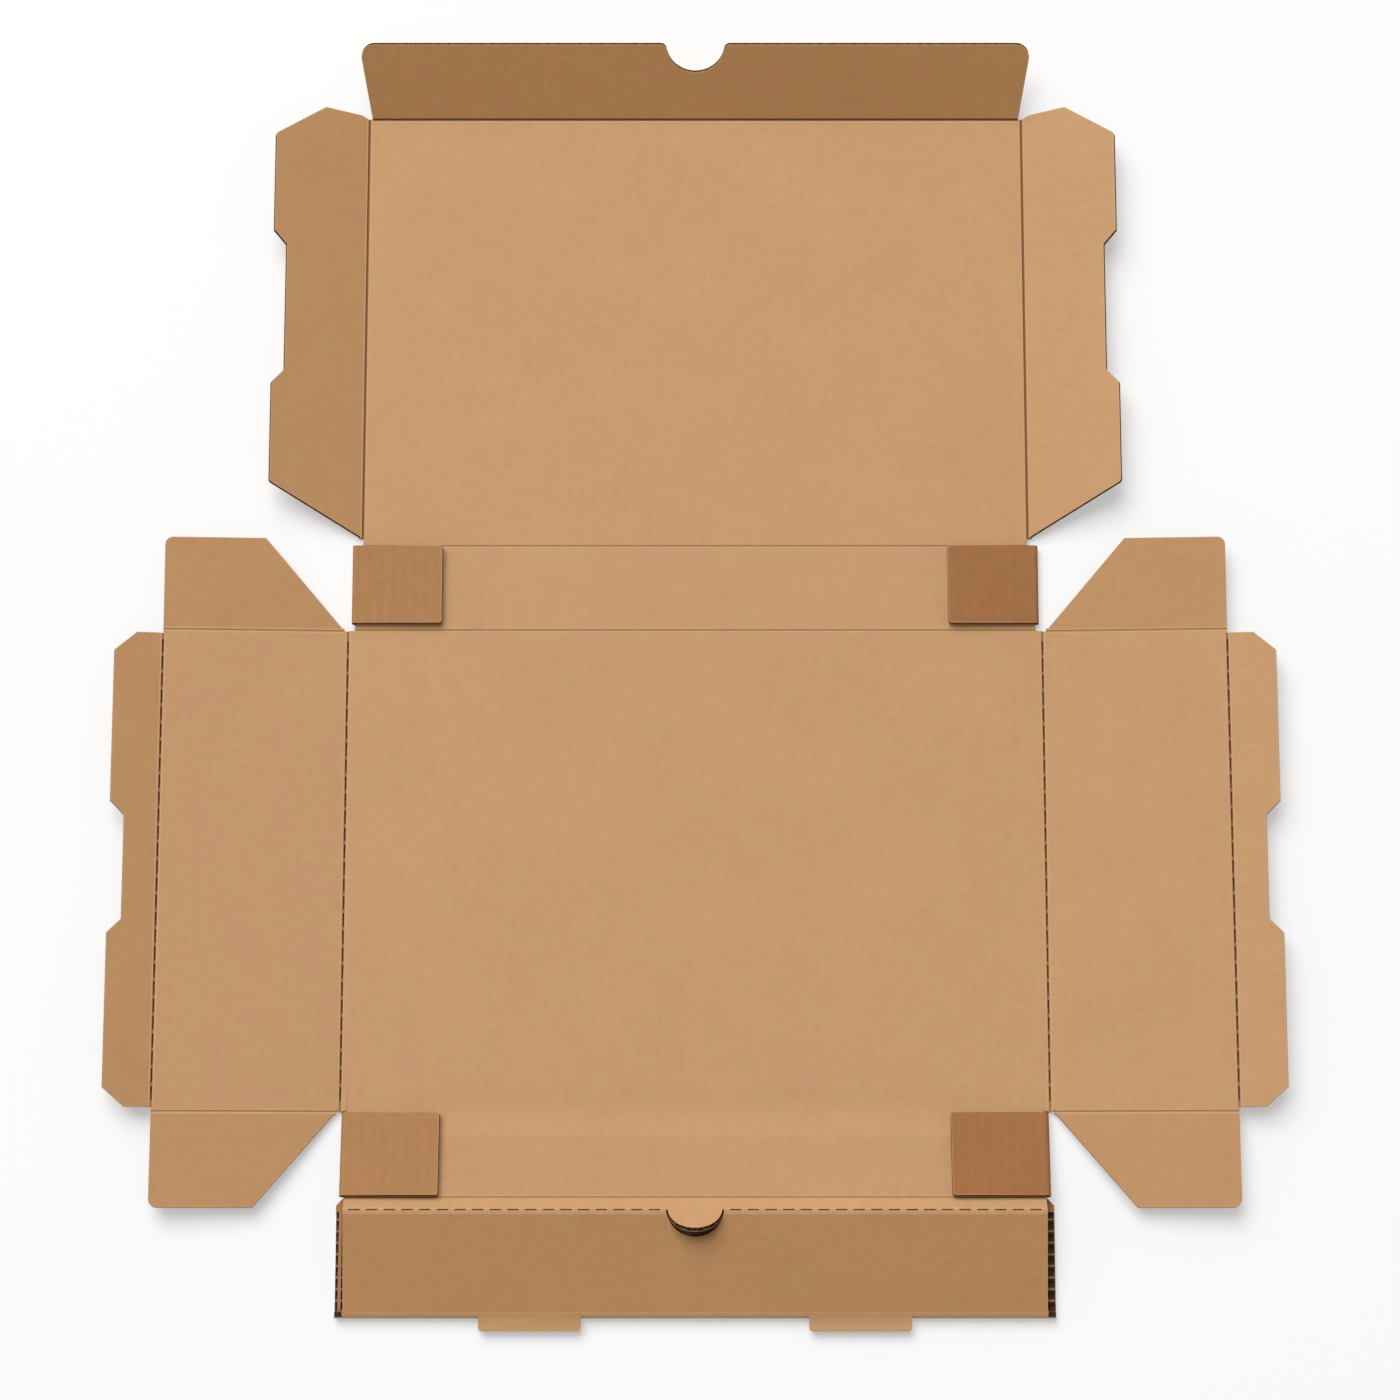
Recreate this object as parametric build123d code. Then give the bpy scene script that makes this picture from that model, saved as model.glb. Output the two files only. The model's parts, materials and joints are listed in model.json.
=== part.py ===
"""Corrugated pizza box, opened out on a table with its inside up.

Millimetres, +Z up, +Y towards the back of the box. The origin is under the middle of the base panel, on the
table. Each panel is a plate of board that hangs on its parent panel by a crease; a crease lies in the inner
face of the board, so folding inwards opens the outside of the bend and never jams.
"""

import os
from math import asin, degrees, hypot, radians, sin, tan

from build123d import *

# Board
board = 3.0  # thickness of the corrugated board
score = 0.1  # each panel stops this far short of its crease line
crush = 0.6  # bevel that the creasing rule leaves along a fold
tuck = 0.3  # play between a tab and the wall that it lies against
cut_round = 2.0  # rounding of small cut corners

# Base and walls
base_w = 350.0
base_d = 242.0
back_h = 43.5
front_h = 42.0
front_lift = 9.0  # degrees that the front wall springs up from the base
side_h = 92.5
side_lift = 4.0  # degrees that a side wall springs up from the base
side_end = 0.5  # the side walls stop this far inside the ends of the base

# Lid
lid_d = 225.5

# Front flap of the lid
lid_front_l = 41.0
lid_front_lift = 42.0  # degrees above the lid
lid_front_flare = 3.5  # how far each end runs out past the lid
lid_front_relief = 1.5  # how far each end starts inside the lid
lid_front_corner = 7.0
finger_r = 15.0
finger_lip = 3.0

# Side flaps of the lid
lid_side_l = 48.5
lid_side_lift = 18.0  # degrees above the lid
lid_side_nose = 4.5  # how far the front end runs past the lid
lid_side_nose_out = 23.0
lid_side_root = 2.0
lid_side_root_out = 4.0
lid_side_front_cut = 12.0
lid_side_back_gap = 4.0
lid_side_back_cut = 30.5
lid_notch_l = 80.0
lid_notch_depth = 6.5
notch_slope = 7.0  # run of each slanted end of a notch

# Tabs that lie folded in on the back and front walls
back_tab_l = 44.0
front_tab_l = 46.0
back_tab_gap = 3.2  # a back tab stops this far short of the base
tab_inset = 0.4  # the other edges of a tab stop this far inside its wall
tab_lift = 1.5  # degrees that a tab springs off its wall
tab_corner = 1.0

# Ears and lock flaps of the side walls
ear_l = 47.0
ear_top = 50.5
ear_gap = 2.0
ear_lift = 3.0  # degrees above the side wall
ear_corner = 4.0
lock_gap = 2.0  # each end of a lock flap stops this far inside its side wall
lock_out = 24.0
lock_lift = 8.0  # degrees above the side wall
lock_cut_x = 9.5
lock_cut_y = 11.0
lock_notch_l = 66.0
lock_notch_depth = 7.0

# Roll-over front: crease strip with its thumb disc, then the doubled panel with its lock tabs
strip_w = 8.6
strip_lift = 36.0  # degrees above the front wall
thumb_r = 13.3
thumb_up = 0.8  # the disc's centre lies this far up the strip from the ridge
thumb_play = 0.5  # play round the disc as it swings through its hole
panel_l = 53.6
lining_l = 52.0
lining_reach = 4.4  # the lining runs out past each end of the panel
fold_gap = 0.2  # space between panel and lining where they meet in the fold
lock_tab_w = 50.0
lock_tab_l = 6.0
lock_tab_x = 80.7

# Sizes that follow
wall_w = base_w - 2 * (board + tuck)  # the tabs of the walls lie inside the side walls
lid_w = wall_w - 2 * (board + tuck)  # the lid's side flaps lie inside the tabs
side_l = base_d - 2 * side_end
lock_l = side_l - 2 * lock_gap
fold_r = board + fold_gap / 2
strip_angle = front_lift + strip_lift
ridge_z = board + front_h * sin(radians(front_lift)) + strip_w * sin(radians(strip_angle))
panel_drop = degrees(asin((ridge_z - 2 * fold_r) / panel_l))
ridge_half = (strip_angle + panel_drop) / 2
thumb_hole_r = hypot(thumb_r, board) + thumb_play


def plate(outline):
    """A panel with its inner face on the sketch plane and the board below it."""
    return extrude(outline, amount=-board)


def creased(panel, *edges_of):
    """Bevel the inner edge of a panel along each crease, named by axis and end."""
    for axis, end in edges_of:
        across = Axis.X if axis == Axis.Y else Axis.Y
        fold = panel.edges().filter_by(across).group_by(axis)[end].sort_by(Axis.Z)[-1]
        panel = chamfer(fold, crush)
    return panel


def strip_outline(width, near, far):
    """A rectangle centred on Y that runs from one distance to another."""
    return Pos(0, (near + far) / 2) * Rectangle(width, far - near)


def notch_outline(length, depth, edge, middle=0.0):
    """A shallow notch with slanted ends in an outer edge that runs along X."""
    half = length / 2
    return make_face(
        Polyline(
            (middle - half, edge),
            (middle - half + notch_slope, edge - depth),
            (middle + half - notch_slope, edge - depth),
            (middle + half, edge),
            close=True,
        )
    )


def on_crease(parent, along, out, turn, lift):
    """Frame of a panel that hangs on a crease of its parent: X along the crease, Y outwards, Z inside face."""
    return parent * Location((along, out, 0), (0, 0, turn)) * Rotation(lift, 0, 0)


# Frames of the panels: the inner face of the base, then crease by crease
base_at = Location((0, 0, board))
back_at = on_crease(base_at, 0, base_d / 2, 0, 0)
lid_at = on_crease(back_at, 0, back_h, 0, 0)
lid_front_at = on_crease(lid_at, 0, lid_d, 0, lid_front_lift)
lid_left_at = on_crease(lid_at, -lid_w / 2, lid_d / 2, 90, lid_side_lift)
back_tab_at = on_crease(back_at, -wall_w / 2, back_h / 2, -90, tab_lift)
left_at = on_crease(base_at, -base_w / 2, 0, 90, side_lift)
rear_ear_at = on_crease(left_at, side_l / 2, side_h / 2, -90, ear_lift)
front_ear_at = on_crease(left_at, -side_l / 2, side_h / 2, 90, ear_lift)
lock_at = on_crease(left_at, 0, side_h, 0, lock_lift)
front_at = on_crease(base_at, 0, -base_d / 2, 180, front_lift)
front_tab_at = on_crease(front_at, wall_w / 2, front_h / 2, 90, tab_lift)
strip_at = on_crease(front_at, 0, front_h, 0, strip_lift)
panel_at = on_crease(strip_at, 0, strip_w, 0, -strip_angle - panel_drop)

# Base
base = plate(Rectangle(base_w - 2 * score, base_d - 2 * score))
base = base_at * creased(base, (Axis.X, 0), (Axis.X, -1), (Axis.Y, 0), (Axis.Y, -1))

# Back wall and lid
back_wall = plate(strip_outline(wall_w, score, back_h - score))
back_wall = back_at * creased(back_wall, (Axis.Y, 0), (Axis.Y, -1), (Axis.X, 0), (Axis.X, -1))

lid = plate(strip_outline(lid_w - 2 * score, score, lid_d - score))
lid = lid_at * creased(lid, (Axis.Y, 0), (Axis.Y, -1), (Axis.X, 0), (Axis.X, -1))

# Front flap of the lid, flared, with round corners and a finger notch
root = lid_w / 2 - lid_front_relief
reach = lid_w / 2 + lid_front_flare
flap_outline = make_face(
    Polyline(
        (-root, score),
        (root, score),
        (reach, lid_front_l),
        (-reach, lid_front_l),
        close=True,
    )
)
flap_outline = fillet(flap_outline.vertices().group_by(Axis.Y)[-1], lid_front_corner)
flap_outline -= Pos(0, lid_front_l) * Circle(finger_r)
lips = flap_outline.vertices().group_by(Axis.Y)[-1].sort_by(Axis.X)
flap_outline = fillet(lips[1:3], finger_lip)
lid_front_flap = lid_front_at * creased(plate(flap_outline), (Axis.Y, 0))

# Side flap of the lid, with a nose past the lid's front, slanted ends and a long notch
front_end = lid_d / 2
back_end = -lid_d / 2
side_outline = make_face(
    Polyline(
        (back_end + lid_side_back_gap, score),
        (front_end - score, score),
        (front_end + lid_side_root, lid_side_root_out),
        (front_end + lid_side_nose, lid_side_nose_out),
        (front_end - lid_side_front_cut, lid_side_l),
        (back_end + lid_side_back_cut, lid_side_l),
        close=True,
    )
)
side_outline = fillet(side_outline.vertices().group_by(Axis.Y)[-1], cut_round)
notch_middle = (back_end + lid_side_back_cut + front_end - lid_side_front_cut) / 2
side_outline -= notch_outline(lid_notch_l, lid_notch_depth, lid_side_l, notch_middle)
lid_left_flap = lid_left_at * creased(plate(side_outline), (Axis.Y, 0))


def tab(length, start, end):
    """A corner tab as it lies folded in: inner face down on the wall, root at its crease."""
    outline = Pos((start + end) / 2, 0) * strip_outline(end - start, score, length)
    outline = fillet(outline.vertices().group_by(Axis.Y)[-1], tab_corner)
    return creased(mirror(plate(outline), about=Plane.XY), (Axis.Y, 0))


back_left_tab = back_tab_at * tab(back_tab_l, tab_inset - back_h / 2, back_h / 2 - back_tab_gap)
front_left_tab = front_tab_at * tab(front_tab_l, tab_inset - front_h / 2, front_h / 2 - tab_inset)

# Side wall, its ears and its lock flap
left_wall = plate(strip_outline(side_l - 2 * score, score, side_h - score))
left_wall = left_at * creased(left_wall, (Axis.X, 0), (Axis.X, -1), (Axis.Y, 0), (Axis.Y, -1))

ear_outline = make_face(
    Polyline(
        (-side_h / 2, score),
        (side_h / 2 - ear_gap, score),
        (-side_h / 2 + ear_top, ear_l),
        (-side_h / 2, ear_l),
        close=True,
    )
)
ear_outline = fillet(ear_outline.vertices().group_by(Axis.Y)[-1].sort_by(Axis.X)[0], ear_corner)
left_rear_ear = rear_ear_at * creased(plate(ear_outline), (Axis.Y, 0))
left_front_ear = front_ear_at * creased(plate(mirror(ear_outline, about=Plane.YZ)), (Axis.Y, 0))

lock_outline = make_face(
    Polyline(
        (-lock_l / 2, score),
        (lock_l / 2, score),
        (lock_l / 2, lock_out - lock_cut_y),
        (lock_l / 2 - lock_cut_x, lock_out),
        (-lock_l / 2 + lock_cut_x, lock_out),
        (-lock_l / 2, lock_out - lock_cut_y),
        close=True,
    )
)
lock_outline -= notch_outline(lock_notch_l, lock_notch_depth, lock_out)
left_lock_flap = lock_at * creased(plate(lock_outline), (Axis.Y, 0))

# Front wall
front_wall = plate(strip_outline(wall_w, score, front_h - score))
front_wall = front_at * creased(front_wall, (Axis.Y, 0), (Axis.Y, -1), (Axis.X, 0), (Axis.X, -1))

# Crease strip along the top of the front wall, mitred to the panel, with the thumb disc in its own plane
mitre_run = board * tan(radians(ridge_half))
mitre = make_face(Polyline((strip_w, 0), (strip_w, -board), (strip_w - mitre_run, -board), close=True))
front_strip = creased(plate(strip_outline(wall_w, score, strip_w)), (Axis.Y, 0))
front_strip -= extrude(Plane.YZ * mitre, amount=wall_w, both=True)
thumb = Pos(0, strip_w - thumb_up) * Circle(thumb_r)
thumb &= strip_outline(2 * thumb_r, strip_w - 2 * mitre_run, 2 * base_d)
front_strip = strip_at * (front_strip + plate(thumb))

# Doubled front panel: the outer layer slopes from the ridge to a round fold, the lining returns below it
panel_layer = make_face(
    Polyline(
        (score, 0),
        (panel_l - fold_r, 0),
        (panel_l - fold_r, -board),
        (score + mitre_run, -board),
        close=True,
    )
)
layer = extrude(Plane.YZ * panel_layer, amount=wall_w / 2, both=True)
layer -= extrude(Pos(0, -thumb_up) * Circle(thumb_hole_r), amount=-board)
lock_tab = strip_outline(lock_tab_w, panel_l - 2 * fold_r, panel_l + lock_tab_l)
lock_tab = fillet(lock_tab.vertices().group_by(Axis.Y)[-1], cut_round)
layer += plate(Pos(-lock_tab_x, 0) * lock_tab)
layer += plate(Pos(lock_tab_x, 0) * lock_tab)
lining_w = wall_w + 2 * lining_reach
bend = Pos(0, panel_l - fold_r, -fold_r) * Rotation(0, 90, 0) * Cylinder(fold_r, lining_w)
lining = Pos(0, panel_l - fold_r, -fold_r) * Rotation(panel_drop, 0, 0)
lining = lining * Pos(0, -lining_l / 2, board / 2 - fold_r) * Box(lining_w, lining_l, board)
front_panel = panel_at * (layer + bend + lining)

# The right side mirrors the left
nodes = {
    "base": base,
    "back_wall": back_wall,
    "lid": lid,
    "lid_front_flap": lid_front_flap,
    "front_wall": front_wall,
    "front_strip": front_strip,
    "front_panel": front_panel,
}
left_nodes = {
    "lid_left_flap": lid_left_flap,
    "back_left_tab": back_left_tab,
    "left_wall": left_wall,
    "left_rear_ear": left_rear_ear,
    "left_front_ear": left_front_ear,
    "left_lock_flap": left_lock_flap,
    "front_left_tab": front_left_tab,
}
for name, panel in left_nodes.items():
    nodes[name] = panel
    nodes[name.replace("left", "right")] = mirror(panel, about=Plane.YZ)

os.makedirs("parts", exist_ok=True)
for name, panel in nodes.items():
    export_step(panel, f"parts/{name}.step")
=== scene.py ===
"""Kraft corrugated pizza box, opened out on a pale table with its inside up.

Every panel is rebuilt as corrugated board: an inner liner, a fluted medium and an outer liner, cut to the
outline of its solid. Every crease is a strip of both liners that bends between its two panels.
"""

import json
from math import atan2, cos, pi, radians, sin

import bpy
from mathutils import Matrix, Vector

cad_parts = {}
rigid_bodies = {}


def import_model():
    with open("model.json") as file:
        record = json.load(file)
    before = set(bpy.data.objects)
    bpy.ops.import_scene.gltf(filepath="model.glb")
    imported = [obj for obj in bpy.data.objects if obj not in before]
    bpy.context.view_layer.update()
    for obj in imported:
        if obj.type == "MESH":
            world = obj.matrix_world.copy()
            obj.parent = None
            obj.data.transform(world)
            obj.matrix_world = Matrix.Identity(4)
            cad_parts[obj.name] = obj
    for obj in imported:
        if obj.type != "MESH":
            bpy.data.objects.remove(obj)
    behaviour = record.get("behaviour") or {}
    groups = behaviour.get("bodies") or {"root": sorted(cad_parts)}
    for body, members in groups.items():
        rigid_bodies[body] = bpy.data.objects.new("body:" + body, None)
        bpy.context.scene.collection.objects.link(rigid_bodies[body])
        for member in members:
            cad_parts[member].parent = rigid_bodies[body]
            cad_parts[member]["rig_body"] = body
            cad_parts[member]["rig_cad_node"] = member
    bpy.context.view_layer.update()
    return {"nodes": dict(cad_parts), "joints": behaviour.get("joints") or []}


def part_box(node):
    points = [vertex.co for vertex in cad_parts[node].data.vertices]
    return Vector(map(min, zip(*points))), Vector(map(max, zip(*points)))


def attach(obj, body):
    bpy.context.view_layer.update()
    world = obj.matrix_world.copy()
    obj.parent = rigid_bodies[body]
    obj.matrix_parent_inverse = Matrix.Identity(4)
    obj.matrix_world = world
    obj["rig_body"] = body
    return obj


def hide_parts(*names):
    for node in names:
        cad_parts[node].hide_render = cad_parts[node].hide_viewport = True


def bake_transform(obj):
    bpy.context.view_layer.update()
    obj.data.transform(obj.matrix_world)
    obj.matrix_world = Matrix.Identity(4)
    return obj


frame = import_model()

# Board, in millimetres
MM = 0.001
BOARD = 3.0
LINER = 0.4
FLUTE_PITCH = 5.6
FLUTE_STEPS = 8  # facets of one flute
FLUTE_PAPER = 0.35
FLUTE_SPARE = 4.0  # the medium is made so much longer, and some flutes wider, and then cut
SPARE_FLUTES = 3
RECESS = 0.3  # the medium ends this far behind the cut edges of the liners
EDGE_WORN_AND_LIT_WIDTH = 0.6  # width of the lighter paper along the cut edges, worn paper and a painted highlight, and how much of it shows
EDGE_WORN_AND_LIT = 0.45
CREST_HIGHLIGHT = 0.5  # painted highlight on the crests of the bare flutes of the lining
OVERCUT = 0.05
FACING = 0.99  # a face looks one way if this share of its normal points there
CUT_FACING = 0.3  # the same for the cut ends of the flutes
BOARD_SHARP = 32  # edges that turn by more than this stay sharp, in degrees
CREASE_SHARP = 50

# Creases: a strip reaches so far into each panel, and bends within so much of that
FOLD_HALF = 1.4
RIDGE_HALF = 2.4
RIDGE_BEND = 0.9
SPRUNG_HALF = 12.0  # the front wall rises from the base in a wide soft bend
ACROSS = (-1.0, -0.72, -0.5, -0.4, -0.32, -0.24, -0.17, 0.0, 0.17, 0.24, 0.32, 0.4, 0.5, 0.72, 1.0)
PLAIN_ROWS = 12  # parts along a crease without slits
SLIT_PITCH = 8.6
SLIT_RAMP = 0.25  # a slit reaches its depth within this length
SLIT_WIDTH = 0.62  # share of its groove that a slit takes
FRONT_TAB_BULGE = 0.8  # the folded edge of a tab is pressed flat to this share of a round one
BACK_TAB_BULGE = 0.55
LIP_AT = 1.3  # the lighter lip of a crease, a painted highlight, in half widths from its middle
LIP_WIDTH = 0.45
# groove depth, groove half width and darkness of each kind of crease (crushed paper and painted shade in the
# groove and slits), the painted highlight of its lighter lip, slit length and depth
CREASES = {
    "sprung": (0.0, 0.6, 0.0, 0.0, 0.0, 0.0),
    "thin": (0.3, 0.55, 0.55, 0.6, 0.0, 0.0),
    "scored": (0.75, 0.7, 0.95, 0.45, 0.0, 0.0),
    "slit": (0.45, 0.7, 0.66, 0.6, 6.9, 1.7),
    "ridge": (0.12, 0.6, 0.12, 0.65, 5.6, 1.6),
}
CREASE_OF = {
    "front_wall": "sprung",
    "front_panel": "ridge",
    "lid_front_flap": "scored",
    "lid_left_flap": "scored",
    "lid_right_flap": "scored",
    "left_wall": "slit",
    "right_wall": "slit",
    "left_lock_flap": "slit",
    "right_lock_flap": "slit",
}
TABS = ("back_left_tab", "back_right_tab", "front_left_tab", "front_right_tab")
CROSS_FLUTED = ("lid_left_flap", "lid_right_flap", "left_lock_flap", "right_lock_flap", "front_panel")

joint_of = {joint["child"]: joint for joint in frame["joints"]}


# Working on one object at a time


def only(piece):
    """Make one object the selected and active one."""
    bpy.ops.object.select_all(action="DESELECT")
    piece.select_set(True)
    bpy.context.view_layer.objects.active = piece


def clone(source, name):
    """A copy of a piece with its own mesh, free of any parent."""
    piece = source.copy()
    piece.data = source.data.copy()
    piece.name = name
    piece.parent = None
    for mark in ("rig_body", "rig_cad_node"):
        if mark in piece:
            del piece[mark]
    bpy.context.scene.collection.objects.link(piece)
    return piece


def discard(*pieces):
    """Delete pieces with their meshes."""
    for piece in pieces:
        bpy.data.meshes.remove(piece.data)


def join(pieces, name):
    """Join pieces into the first one and name it."""
    bpy.ops.object.select_all(action="DESELECT")
    for piece in pieces:
        piece.select_set(True)
    bpy.context.view_layer.objects.active = pieces[0]
    bpy.ops.object.join()
    pieces[0].name = name
    pieces[0].data.name = name
    return pieces[0]


def paint(piece, material):
    """Give a piece one material only."""
    piece.data.materials.clear()
    piece.data.materials.append(material)
    return piece


def smooth(piece, degrees=BOARD_SHARP):
    """Shade a piece smooth, apart from edges sharper than an angle."""
    only(piece)
    bpy.ops.object.shade_smooth_by_angle(angle=radians(degrees))


def slice_off(piece, point, normal):
    """Cut a piece with a plane, close the cut and drop the side that the normal points to."""
    only(piece)
    bpy.ops.object.mode_set(mode="EDIT")
    bpy.ops.mesh.select_all(action="SELECT")
    bpy.ops.mesh.bisect(plane_co=point, plane_no=normal, use_fill=True, clear_outer=True, threshold=0.0001)
    bpy.ops.object.mode_set(mode="OBJECT")
    return piece


def carve(piece, tool, operation):
    """Combine a piece with a tool and keep the result."""
    cut = piece.modifiers.new("carve", "BOOLEAN")
    cut.object = tool
    cut.operation = operation
    cut.solver = "EXACT"
    only(piece)
    bpy.ops.object.modifier_apply(modifier=cut.name)
    return piece


def block(low, high, place):
    """A box between two corners, moved by a matrix, used as a cutter."""
    low, high = Vector(low), Vector(high)
    bpy.ops.mesh.primitive_cube_add(size=1)
    tool = bpy.context.object
    tool.data.transform(Matrix.LocRotScale((low + high) / 2, None, high - low))
    tool.data.transform(place)
    return tool


# Where the panels and the creases lie


def inner_normal(node):
    """Direction that the inner face of a panel looks to: the largest face that reaches its crease."""
    pos = Vector(joint_of[node]["pos_m"])
    axis = Vector(joint_of[node]["axis"]).normalized()
    mesh = frame["nodes"][node].data
    best = None
    for face in mesh.polygons:
        corners = [mesh.vertices[i].co - pos for i in face.vertices]
        gap = min((corner - axis * corner.dot(axis)).length for corner in corners)
        if gap < BOARD / 2 * MM and (best is None or face.area > best.area):
            best = face
    return best.normal.copy()


def axes(origin, along, up, towards):
    """A frame at origin with X along a crease, Z up from the inner face and Y on the side of towards."""
    up = up.normalized()
    along = along.normalized()
    out = up.cross(along)
    if out.dot(towards) < 0:
        along, out = -along, -out
    turn = Matrix((along, out, up)).transposed().to_4x4()
    return Matrix.Translation(origin) @ turn


def panel_place(node):
    """Frame of a panel: origin on its crease, Y out along the panel, Z up from the inner face."""
    if node not in joint_of:
        return Matrix.Translation((0, 0, BOARD * MM))
    low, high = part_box(node)
    pos = Vector(joint_of[node]["pos_m"])
    return axes(pos, Vector(joint_of[node]["axis"]), inner_normal(node), (low + high) / 2 - pos)


places = {node: panel_place(node) for node in frame["nodes"]}


def crease_place(node):
    """Frame of a panel's crease in its parent's plane, and the angle of the fold at rest."""
    joint = joint_of[node]
    pos = Vector(joint["pos_m"])
    parent = joint["parent"]
    up = places[parent].col[2].to_3d()
    place = axes(pos, Vector(joint["axis"]), up, pos - places[parent].translation)
    out = places[node].col[1].to_3d()
    lift = atan2(out.dot(place.col[2].to_3d()), out.dot(place.col[1].to_3d()))
    return place, lift


def crease_spans(node, place):
    """Where the panel meets its crease, in millimetres along it."""
    flat = Matrix.Scale(1 / MM, 4) @ place.inverted()
    points = [flat @ vertex.co for vertex in frame["nodes"][node].data.vertices]
    reach = sorted(point.x for point in points if Vector((point.y, point.z)).length < BOARD / 3)
    if node == "front_panel":
        hole = min(abs(along) for along in reach)
        return [(reach[0], -hole), (hole, reach[-1])]
    return [(reach[0], reach[-1])]


creases = {}
for child in joint_of:
    at, lift = crease_place(child)
    creases[child] = (at, lift, crease_spans(child, at))


def creases_on(node):
    """Creases that border a panel: its own, and those of the panels that hang on it."""
    return [child for child in joint_of if child == node or joint_of[child]["parent"] == node]


def fold_half(child):
    """How far a crease strip reaches into each of its two panels."""
    return {"front_panel": RIDGE_HALF, "front_wall": SPRUNG_HALF}.get(child, FOLD_HALF)


# Materials

INSIDE_TONE = (0.54, 0.313, 0.149)
# Painted shade: the wall, side and left tones are darker copies of the inside paper for the front and left
# walls, the right ears and the left flaps and ears, and the flap tone gives the lid's front flap the warmer,
# deeper hue of shade
WALL_SHADE_TONE = (0.518, 0.3, 0.143)
SIDE_TONE = (0.502, 0.28, 0.125)
LEFT_SHADE_TONE = (0.474, 0.262, 0.114)
FLAP_SHADE_TONE = (0.545, 0.295, 0.115)
FRONT_TONE = (0.455, 0.243, 0.1)
OUTSIDE_TONE = (0.40, 0.203, 0.081)
OUTSIDE_DEEP_TONE = (0.336, 0.15, 0.053)
FLUTE_TONE = (0.27, 0.155, 0.07)
# painted shade in the flutes: on the hidden faces of the liners, the medium inside its flutes, the open ends
# of the fold and the hollow ends of the lock tabs
SHADE_TONE = (0.045, 0.024, 0.011)
# darkness of crushed paper and painted shade in the grooves and slits of the creases
CRUSHED_AND_SHADED_TONE = (0.17, 0.078, 0.026)
# lighter paper of worn cut edges and folds, and painted highlights on crease lips, the round fold and the
# bare flute crests
WORN_AND_LIT_TONE = (0.68, 0.43, 0.23)
PATCH_TINT = (1.02, 0.955, 1.02)  # patches are a little redder than the paper around them
# strength of the mottling, fibres, flecks and flute lines of each kind of paper
INSIDE_GRAIN = (0.2, 0.12, 0.16, 0.006)
OUTSIDE_GRAIN = (0.26, 0.16, 0.2, 0.025)
FLUTE_GRAIN = (0.2, 0.16, 0.1, 0.0)
SHADE_GRAIN = (0.2, 0.1, 0.1, 0.0)
# fineness of each pattern of the paper
CLOUD_SCALE = 16
MOTTLE_SCALE = 240
FIBRE_SCALE = 620
FLECK_SCALE = 1100
PATCH_SCALE = 60
WANDER_SCALE = 30
FADE_SCALE = 55
CLOUD_SHARE = 0.5
FIBRE_TURN = radians(8)
FIBRE_STRETCH = (1.0, 3.6, 1.0)
FLECK_FROM = 0.66  # flecks and patches show above this value of their noise, and rise so steeply
FLECK_RISE = 6.0
PATCH_FROM = 0.42
PATCH_RISE = 3.5
WANDER = 0.003  # flute lines wander sideways, and fade in and out
FADE = 0.3
PAPER_ROUGHNESS = 0.86
ROUGHNESS_SWING = 0.25
PAPER_GLOSS = 0.22
PAPER_BUMP = 0.25
PAPER_RELIEF = 0.0004
FIBRE_RELIEF = 0.6
MOTTLE_RELIEF = 0.4
LINE_RELIEF = 6.0


class Nodes:
    """Adds nodes to a tree and links them."""

    def __init__(self, tree):
        self.tree = tree

    def add(self, kind, **values):
        made = self.tree.nodes.new(kind)
        for name, value in values.items():
            setattr(made, name, value)
        return made

    def put(self, socket, value):
        """Link a socket, or set it to a plain value."""
        if isinstance(value, bpy.types.NodeSocket):
            self.tree.links.new(value, socket)
        else:
            socket.default_value = value

    def math(self, operation, first, second=0.0, clamp=False):
        made = self.add("ShaderNodeMath", operation=operation, use_clamp=clamp)
        self.put(made.inputs[0], first)
        self.put(made.inputs[1], second)
        return made.outputs[0]

    def noise(self, vector, scale, detail, roughness=0.5):
        made = self.add("ShaderNodeTexNoise")
        self.put(made.inputs["Vector"], vector)
        made.inputs["Scale"].default_value = scale
        made.inputs["Detail"].default_value = detail
        made.inputs["Roughness"].default_value = roughness
        return made.outputs["Fac"]

    def swing(self, value, amount):
        """A noise value turned into a change around zero."""
        return self.math("MULTIPLY", self.math("SUBTRACT", value, 0.5), amount)

    def mix(self, share, first, second):
        made = self.add("ShaderNodeMix", data_type="RGBA")
        self.put(made.inputs["Factor"], share)
        self.put(made.inputs["A"], first)
        self.put(made.inputs["B"], second)
        return made.outputs["Result"]


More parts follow.
